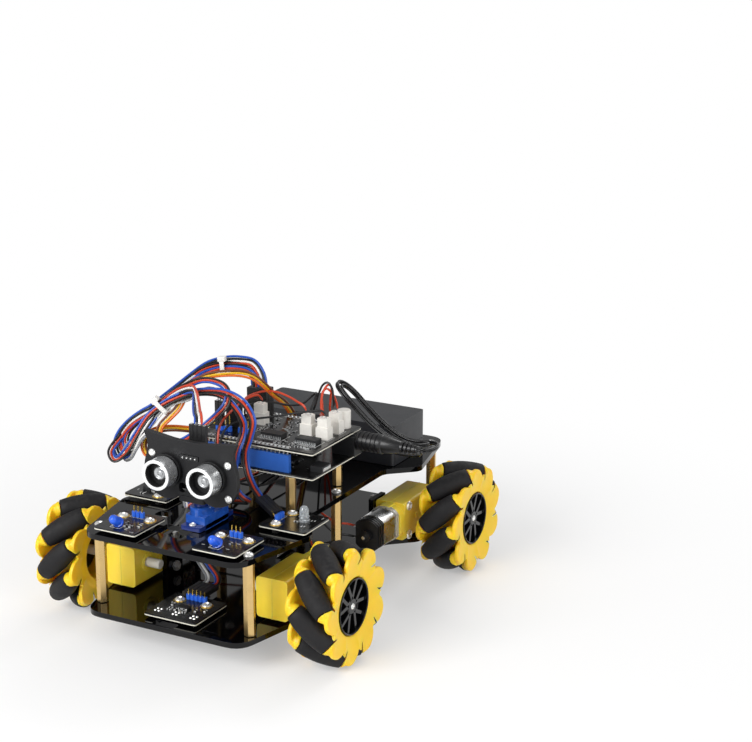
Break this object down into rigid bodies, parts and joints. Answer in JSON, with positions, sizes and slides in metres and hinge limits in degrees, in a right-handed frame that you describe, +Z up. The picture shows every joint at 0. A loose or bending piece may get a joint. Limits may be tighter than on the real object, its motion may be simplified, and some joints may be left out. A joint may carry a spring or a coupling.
{
  "type": "mecanum wheel robot",
  "caption": "Two-deck robot car with slanted-roller mecanum wheels on geared motors, a turning ultrasonic sensor, stacked control boards and a battery case.",
  "frame": {"origin": "on the ground, under the middle of the car", "axes": "+Z up, front towards -Y, +X to the right when the front is seen; wheels turn about X"},
  "size_m": [0.1851, 0.23, 0.1287],
  "materials": {
    "yellow_plastic": "moulded, satin",
    "black_rubber": "matt",
    "black_acrylic": "polished sheet",
    "black_board": "lacquered circuit board",
    "grey_plastic": "fine textured",
    "black_cover": "satin cord cover",
    "blue_plastic": "translucent",
    "wire_cover": "bundle of thin coloured wires",
    "bright_metal": "plain metal cans"
  },
  "bodies": {
    "chassis": {"lower_deck": "black_acrylic", "upper_deck": "black_acrylic", "controller_board": "black_board", "driver_shield": "black_board", "battery_case": "grey_plastic", "dc_plug": "black_cover", "battery_lead": "black_cover", "servo": "blue_plastic", "led_module_left": "black_board", "led_module_right": "black_board", "receiver_module": "black_board", "buzzer_module": "black_board", "line_tracker": "black_board", "wire_loom": "wire_cover", "gear_motor_front_left": "yellow_plastic", "gear_motor_front_right": "yellow_plastic", "gear_motor_rear_left": "yellow_plastic", "gear_motor_rear_right": "yellow_plastic"},
    "sensor_head": {"sensor_bracket": "black_acrylic", "ultrasonic_sensor": "bright_metal"},
    "wheel_front_left": {"wheel_hub_front_left": "yellow_plastic"},
    "roller_front_left_1": {"roller_front_left_1": "black_rubber"},
    "roller_front_left_2": {"roller_front_left_2": "black_rubber"},
    "roller_front_left_3": {"roller_front_left_3": "black_rubber"},
    "roller_front_left_4": {"roller_front_left_4": "black_rubber"},
    "roller_front_left_5": {"roller_front_left_5": "black_rubber"},
    "roller_front_left_6": {"roller_front_left_6": "black_rubber"},
    "roller_front_left_7": {"roller_front_left_7": "black_rubber"},
    "roller_front_left_8": {"roller_front_left_8": "black_rubber"},
    "roller_front_left_9": {"roller_front_left_9": "black_rubber"},
    "wheel_front_right": {"wheel_hub_front_right": "yellow_plastic"},
    "roller_front_right_1": {"roller_front_right_1": "black_rubber"},
    "roller_front_right_2": {"roller_front_right_2": "black_rubber"},
    "roller_front_right_3": {"roller_front_right_3": "black_rubber"},
    "roller_front_right_4": {"roller_front_right_4": "black_rubber"},
    "roller_front_right_5": {"roller_front_right_5": "black_rubber"},
    "roller_front_right_6": {"roller_front_right_6": "black_rubber"},
    "roller_front_right_7": {"roller_front_right_7": "black_rubber"},
    "roller_front_right_8": {"roller_front_right_8": "black_rubber"},
    "roller_front_right_9": {"roller_front_right_9": "black_rubber"},
    "wheel_rear_left": {"wheel_hub_rear_left": "yellow_plastic"},
    "roller_rear_left_1": {"roller_rear_left_1": "black_rubber"},
    "roller_rear_left_2": {"roller_rear_left_2": "black_rubber"},
    "roller_rear_left_3": {"roller_rear_left_3": "black_rubber"},
    "roller_rear_left_4": {"roller_rear_left_4": "black_rubber"},
    "roller_rear_left_5": {"roller_rear_left_5": "black_rubber"},
    "roller_rear_left_6": {"roller_rear_left_6": "black_rubber"},
    "roller_rear_left_7": {"roller_rear_left_7": "black_rubber"},
    "roller_rear_left_8": {"roller_rear_left_8": "black_rubber"},
    "roller_rear_left_9": {"roller_rear_left_9": "black_rubber"},
    "wheel_rear_right": {"wheel_hub_rear_right": "yellow_plastic"},
    "roller_rear_right_1": {"roller_rear_right_1": "black_rubber"},
    "roller_rear_right_2": {"roller_rear_right_2": "black_rubber"},
    "roller_rear_right_3": {"roller_rear_right_3": "black_rubber"},
    "roller_rear_right_4": {"roller_rear_right_4": "black_rubber"},
    "roller_rear_right_5": {"roller_rear_right_5": "black_rubber"},
    "roller_rear_right_6": {"roller_rear_right_6": "black_rubber"},
    "roller_rear_right_7": {"roller_rear_right_7": "black_rubber"},
    "roller_rear_right_8": {"roller_rear_right_8": "black_rubber"},
    "roller_rear_right_9": {"roller_rear_right_9": "black_rubber"}
  },
  "joints": [
    {"name": "sensor_head_turn", "type": "hinge", "parent": "chassis", "child": "sensor_head", "pos_m": [0.0015, -0.0775, 0.0735], "axis": [0, 0, 1], "range_deg": [-90, 90]},
    {"name": "wheel_front_left_spin", "type": "hinge", "parent": "chassis", "child": "wheel_front_left", "pos_m": [-0.079, -0.072, 0.032], "axis": [1, 0, 0], "continuous": true},
    {"name": "roller_front_left_1_roll", "type": "hinge", "parent": "wheel_front_left", "child": "roller_front_left_1", "pos_m": [-0.079, -0.07908, 0.0073], "axis": [0.7071, -0.6797, 0.1949], "continuous": true},
    {"name": "roller_front_left_2_roll", "type": "hinge", "parent": "wheel_front_left", "child": "roller_front_left_2", "pos_m": [-0.079, -0.06155, 0.00852], "axis": [0.7071, -0.646, -0.2876], "continuous": true},
    {"name": "roller_front_left_3_roll", "type": "hinge", "parent": "wheel_front_left", "child": "roller_front_left_3", "pos_m": [-0.079, -0.0489, 0.02073], "axis": [0.7071, -0.31, -0.6355], "continuous": true},
    {"name": "roller_front_left_4_roll", "type": "hinge", "parent": "wheel_front_left", "child": "roller_front_left_4", "pos_m": [-0.079, -0.04706, 0.03822], "axis": [0.7071, 0.1711, -0.6861], "continuous": true},
    {"name": "roller_front_left_5_roll", "type": "hinge", "parent": "wheel_front_left", "child": "roller_front_left_5", "pos_m": [-0.079, -0.05689, 0.05279], "axis": [0.7071, 0.5721, -0.4156], "continuous": true},
    {"name": "roller_front_left_6_roll", "type": "hinge", "parent": "wheel_front_left", "child": "roller_front_left_6", "pos_m": [-0.079, -0.07379, 0.05764], "axis": [0.7071, 0.7054, 0.0493], "continuous": true},
    {"name": "roller_front_left_7_roll", "type": "hinge", "parent": "wheel_front_left", "child": "roller_front_left_7", "pos_m": [-0.079, -0.08985, 0.05049], "axis": [0.7071, 0.5087, 0.4912], "continuous": true},
    {"name": "roller_front_left_8_roll", "type": "hinge", "parent": "wheel_front_left", "child": "roller_front_left_8", "pos_m": [-0.079, -0.09756, 0.03469], "axis": [0.7071, 0.0739, 0.7032], "continuous": true},
    {"name": "roller_front_left_9_roll", "type": "hinge", "parent": "wheel_front_left", "child": "roller_front_left_9", "pos_m": [-0.079, -0.09331, 0.01763], "axis": [0.7071, -0.3954, 0.5862], "continuous": true},
    {"name": "wheel_front_right_spin", "type": "hinge", "parent": "chassis", "child": "wheel_front_right", "pos_m": [0.079, -0.072, 0.032], "axis": [1, 0, 0], "continuous": true},
    {"name": "roller_front_right_1_roll", "type": "hinge", "parent": "wheel_front_right", "child": "roller_front_right_1", "pos_m": [0.079, -0.07155, 0.0063], "axis": [0.7071, 0.707, 0.0123], "continuous": true},
    {"name": "roller_front_right_2_roll", "type": "hinge", "parent": "wheel_front_right", "child": "roller_front_right_2", "pos_m": [0.079, -0.05514, 0.0126], "axis": [0.7071, 0.5337, 0.4639], "continuous": true},
    {"name": "roller_front_right_3_roll", "type": "hinge", "parent": "wheel_front_right", "child": "roller_front_right_3", "pos_m": [0.079, -0.04662, 0.02798], "axis": [0.7071, 0.1106, 0.6984], "continuous": true},
    {"name": "roller_front_right_4_roll", "type": "hinge", "parent": "wheel_front_right", "child": "roller_front_right_4", "pos_m": [0.079, -0.04997, 0.04524], "axis": [0.7071, -0.3642, 0.6061], "continuous": true},
    {"name": "roller_front_right_5_roll", "type": "hinge", "parent": "wheel_front_right", "child": "roller_front_right_5", "pos_m": [0.079, -0.06363, 0.0563], "axis": [0.7071, -0.6686, 0.2302], "continuous": true},
    {"name": "roller_front_right_6_roll", "type": "hinge", "parent": "wheel_front_right", "child": "roller_front_right_6", "pos_m": [0.079, -0.08121, 0.05599], "axis": [0.7071, -0.6601, -0.2534], "continuous": true},
    {"name": "roller_front_right_7_roll", "type": "hinge", "parent": "wheel_front_right", "child": "roller_front_right_7", "pos_m": [0.079, -0.09448, 0.04446], "axis": [0.7071, -0.3428, -0.6184], "continuous": true},
    {"name": "roller_front_right_8_roll", "type": "hinge", "parent": "wheel_front_right", "child": "roller_front_right_8", "pos_m": [0.079, -0.09723, 0.0271], "axis": [0.7071, 0.1349, -0.6941], "continuous": true},
    {"name": "roller_front_right_9_roll", "type": "hinge", "parent": "wheel_front_right", "child": "roller_front_right_9", "pos_m": [0.079, -0.08817, 0.01203], "axis": [0.7071, 0.5495, -0.445], "continuous": true},
    {"name": "wheel_rear_left_spin", "type": "hinge", "parent": "chassis", "child": "wheel_rear_left", "pos_m": [-0.079, 0.072, 0.032], "axis": [1, 0, 0], "continuous": true},
    {"name": "roller_rear_left_1_roll", "type": "hinge", "parent": "wheel_rear_left", "child": "roller_rear_left_1", "pos_m": [-0.079, 0.072, 0.0063], "axis": [0.7071, 0.7071, 0], "continuous": true},
    {"name": "roller_rear_left_2_roll", "type": "hinge", "parent": "wheel_rear_left", "child": "roller_rear_left_2", "pos_m": [-0.079, 0.08852, 0.01231], "axis": [0.7071, 0.5417, 0.4545], "continuous": true},
    {"name": "roller_rear_left_3_roll", "type": "hinge", "parent": "wheel_rear_left", "child": "roller_rear_left_3", "pos_m": [-0.079, 0.09731, 0.02754], "axis": [0.7071, 0.1228, 0.6964], "continuous": true},
    {"name": "roller_rear_left_4_roll", "type": "hinge", "parent": "wheel_rear_left", "child": "roller_rear_left_4", "pos_m": [-0.079, 0.09426, 0.04485], "axis": [0.7071, -0.3536, 0.6124], "continuous": true},
    {"name": "roller_rear_left_5_roll", "type": "hinge", "parent": "wheel_rear_left", "child": "roller_rear_left_5", "pos_m": [-0.079, 0.08079, 0.05615], "axis": [0.7071, -0.6645, 0.2418], "continuous": true},
    {"name": "roller_rear_left_6_roll", "type": "hinge", "parent": "wheel_rear_left", "child": "roller_rear_left_6", "pos_m": [-0.079, 0.06321, 0.05615], "axis": [0.7071, -0.6645, -0.2418], "continuous": true},
    {"name": "roller_rear_left_7_roll", "type": "hinge", "parent": "wheel_rear_left", "child": "roller_rear_left_7", "pos_m": [-0.079, 0.04974, 0.04485], "axis": [0.7071, -0.3536, -0.6124], "continuous": true},
    {"name": "roller_rear_left_8_roll", "type": "hinge", "parent": "wheel_rear_left", "child": "roller_rear_left_8", "pos_m": [-0.079, 0.04669, 0.02754], "axis": [0.7071, 0.1228, -0.6964], "continuous": true},
    {"name": "roller_rear_left_9_roll", "type": "hinge", "parent": "wheel_rear_left", "child": "roller_rear_left_9", "pos_m": [-0.079, 0.05548, 0.01231], "axis": [0.7071, 0.5417, -0.4545], "continuous": true},
    {"name": "wheel_rear_right_spin", "type": "hinge", "parent": "chassis", "child": "wheel_rear_right", "pos_m": [0.079, 0.072, 0.032], "axis": [1, 0, 0], "continuous": true},
    {"name": "roller_rear_right_1_roll", "type": "hinge", "parent": "wheel_rear_right", "child": "roller_rear_right_1", "pos_m": [0.079, 0.07646, 0.00669], "axis": [0.7071, -0.6964, -0.1228], "continuous": true},
    {"name": "roller_rear_right_2_roll", "type": "hinge", "parent": "wheel_rear_right", "child": "roller_rear_right_2", "pos_m": [0.079, 0.09169, 0.01548], "axis": [0.7071, -0.4545, -0.5417], "continuous": true},
    {"name": "roller_rear_right_3_roll", "type": "hinge", "parent": "wheel_rear_right", "child": "roller_rear_right_3", "pos_m": [0.079, 0.0977, 0.032], "axis": [0.7071, 0, -0.7071], "continuous": true},
    {"name": "roller_rear_right_4_roll", "type": "hinge", "parent": "wheel_rear_right", "child": "roller_rear_right_4", "pos_m": [0.079, 0.09169, 0.04852], "axis": [0.7071, 0.4545, -0.5417], "continuous": true},
    {"name": "roller_rear_right_5_roll", "type": "hinge", "parent": "wheel_rear_right", "child": "roller_rear_right_5", "pos_m": [0.079, 0.07646, 0.05731], "axis": [0.7071, 0.6964, -0.1228], "continuous": true},
    {"name": "roller_rear_right_6_roll", "type": "hinge", "parent": "wheel_rear_right", "child": "roller_rear_right_6", "pos_m": [0.079, 0.05915, 0.05426], "axis": [0.7071, 0.6124, 0.3536], "continuous": true},
    {"name": "roller_rear_right_7_roll", "type": "hinge", "parent": "wheel_rear_right", "child": "roller_rear_right_7", "pos_m": [0.079, 0.04785, 0.04079], "axis": [0.7071, 0.2418, 0.6645], "continuous": true},
    {"name": "roller_rear_right_8_roll", "type": "hinge", "parent": "wheel_rear_right", "child": "roller_rear_right_8", "pos_m": [0.079, 0.04785, 0.02321], "axis": [0.7071, -0.2418, 0.6645], "continuous": true},
    {"name": "roller_rear_right_9_roll", "type": "hinge", "parent": "wheel_rear_right", "child": "roller_rear_right_9", "pos_m": [0.079, 0.05915, 0.00974], "axis": [0.7071, -0.6124, 0.3536], "continuous": true}
  ]
}
